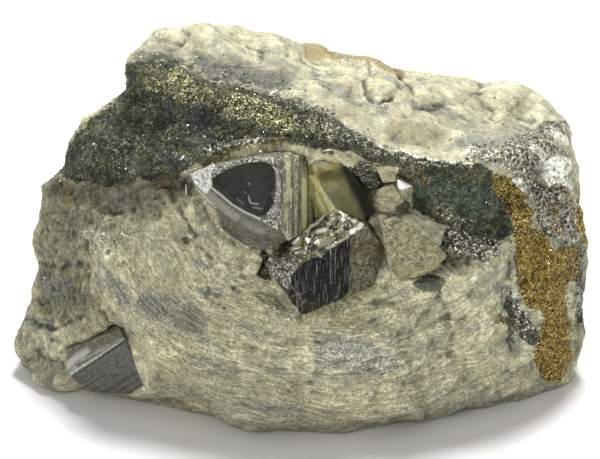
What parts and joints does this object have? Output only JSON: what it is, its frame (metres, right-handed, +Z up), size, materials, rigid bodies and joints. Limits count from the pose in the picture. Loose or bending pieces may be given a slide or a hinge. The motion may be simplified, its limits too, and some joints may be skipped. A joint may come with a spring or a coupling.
{
  "type": "arsenopyrite specimen",
  "caption": "Mineral specimen: steel-grey arsenopyrite crystals grown in a broken block of pale vein rock with dark sulphide and rusty patches.",
  "frame": {"origin": "middle of the specimen's footprint, on the surface that it stands on", "axes": "+Z up, +X along the specimen's length, -Y towards the viewer of the crystals"},
  "size_m": [0.0814, 0.0496, 0.0487],
  "materials": {
    "vein_rock": "matte",
    "arsenopyrite": "polished",
    "corner_arsenopyrite": "satin",
    "carbonate": "satin",
    "bright_facet": "polished"
  },
  "bodies": {
    "root": {"matrix_rock": "vein_rock", "arsenopyrite_crystals": "arsenopyrite", "corner_crystal": "corner_arsenopyrite", "cleavage_rhomb": "carbonate", "bright_crystal": "bright_facet"}
  },
  "joints": []
}
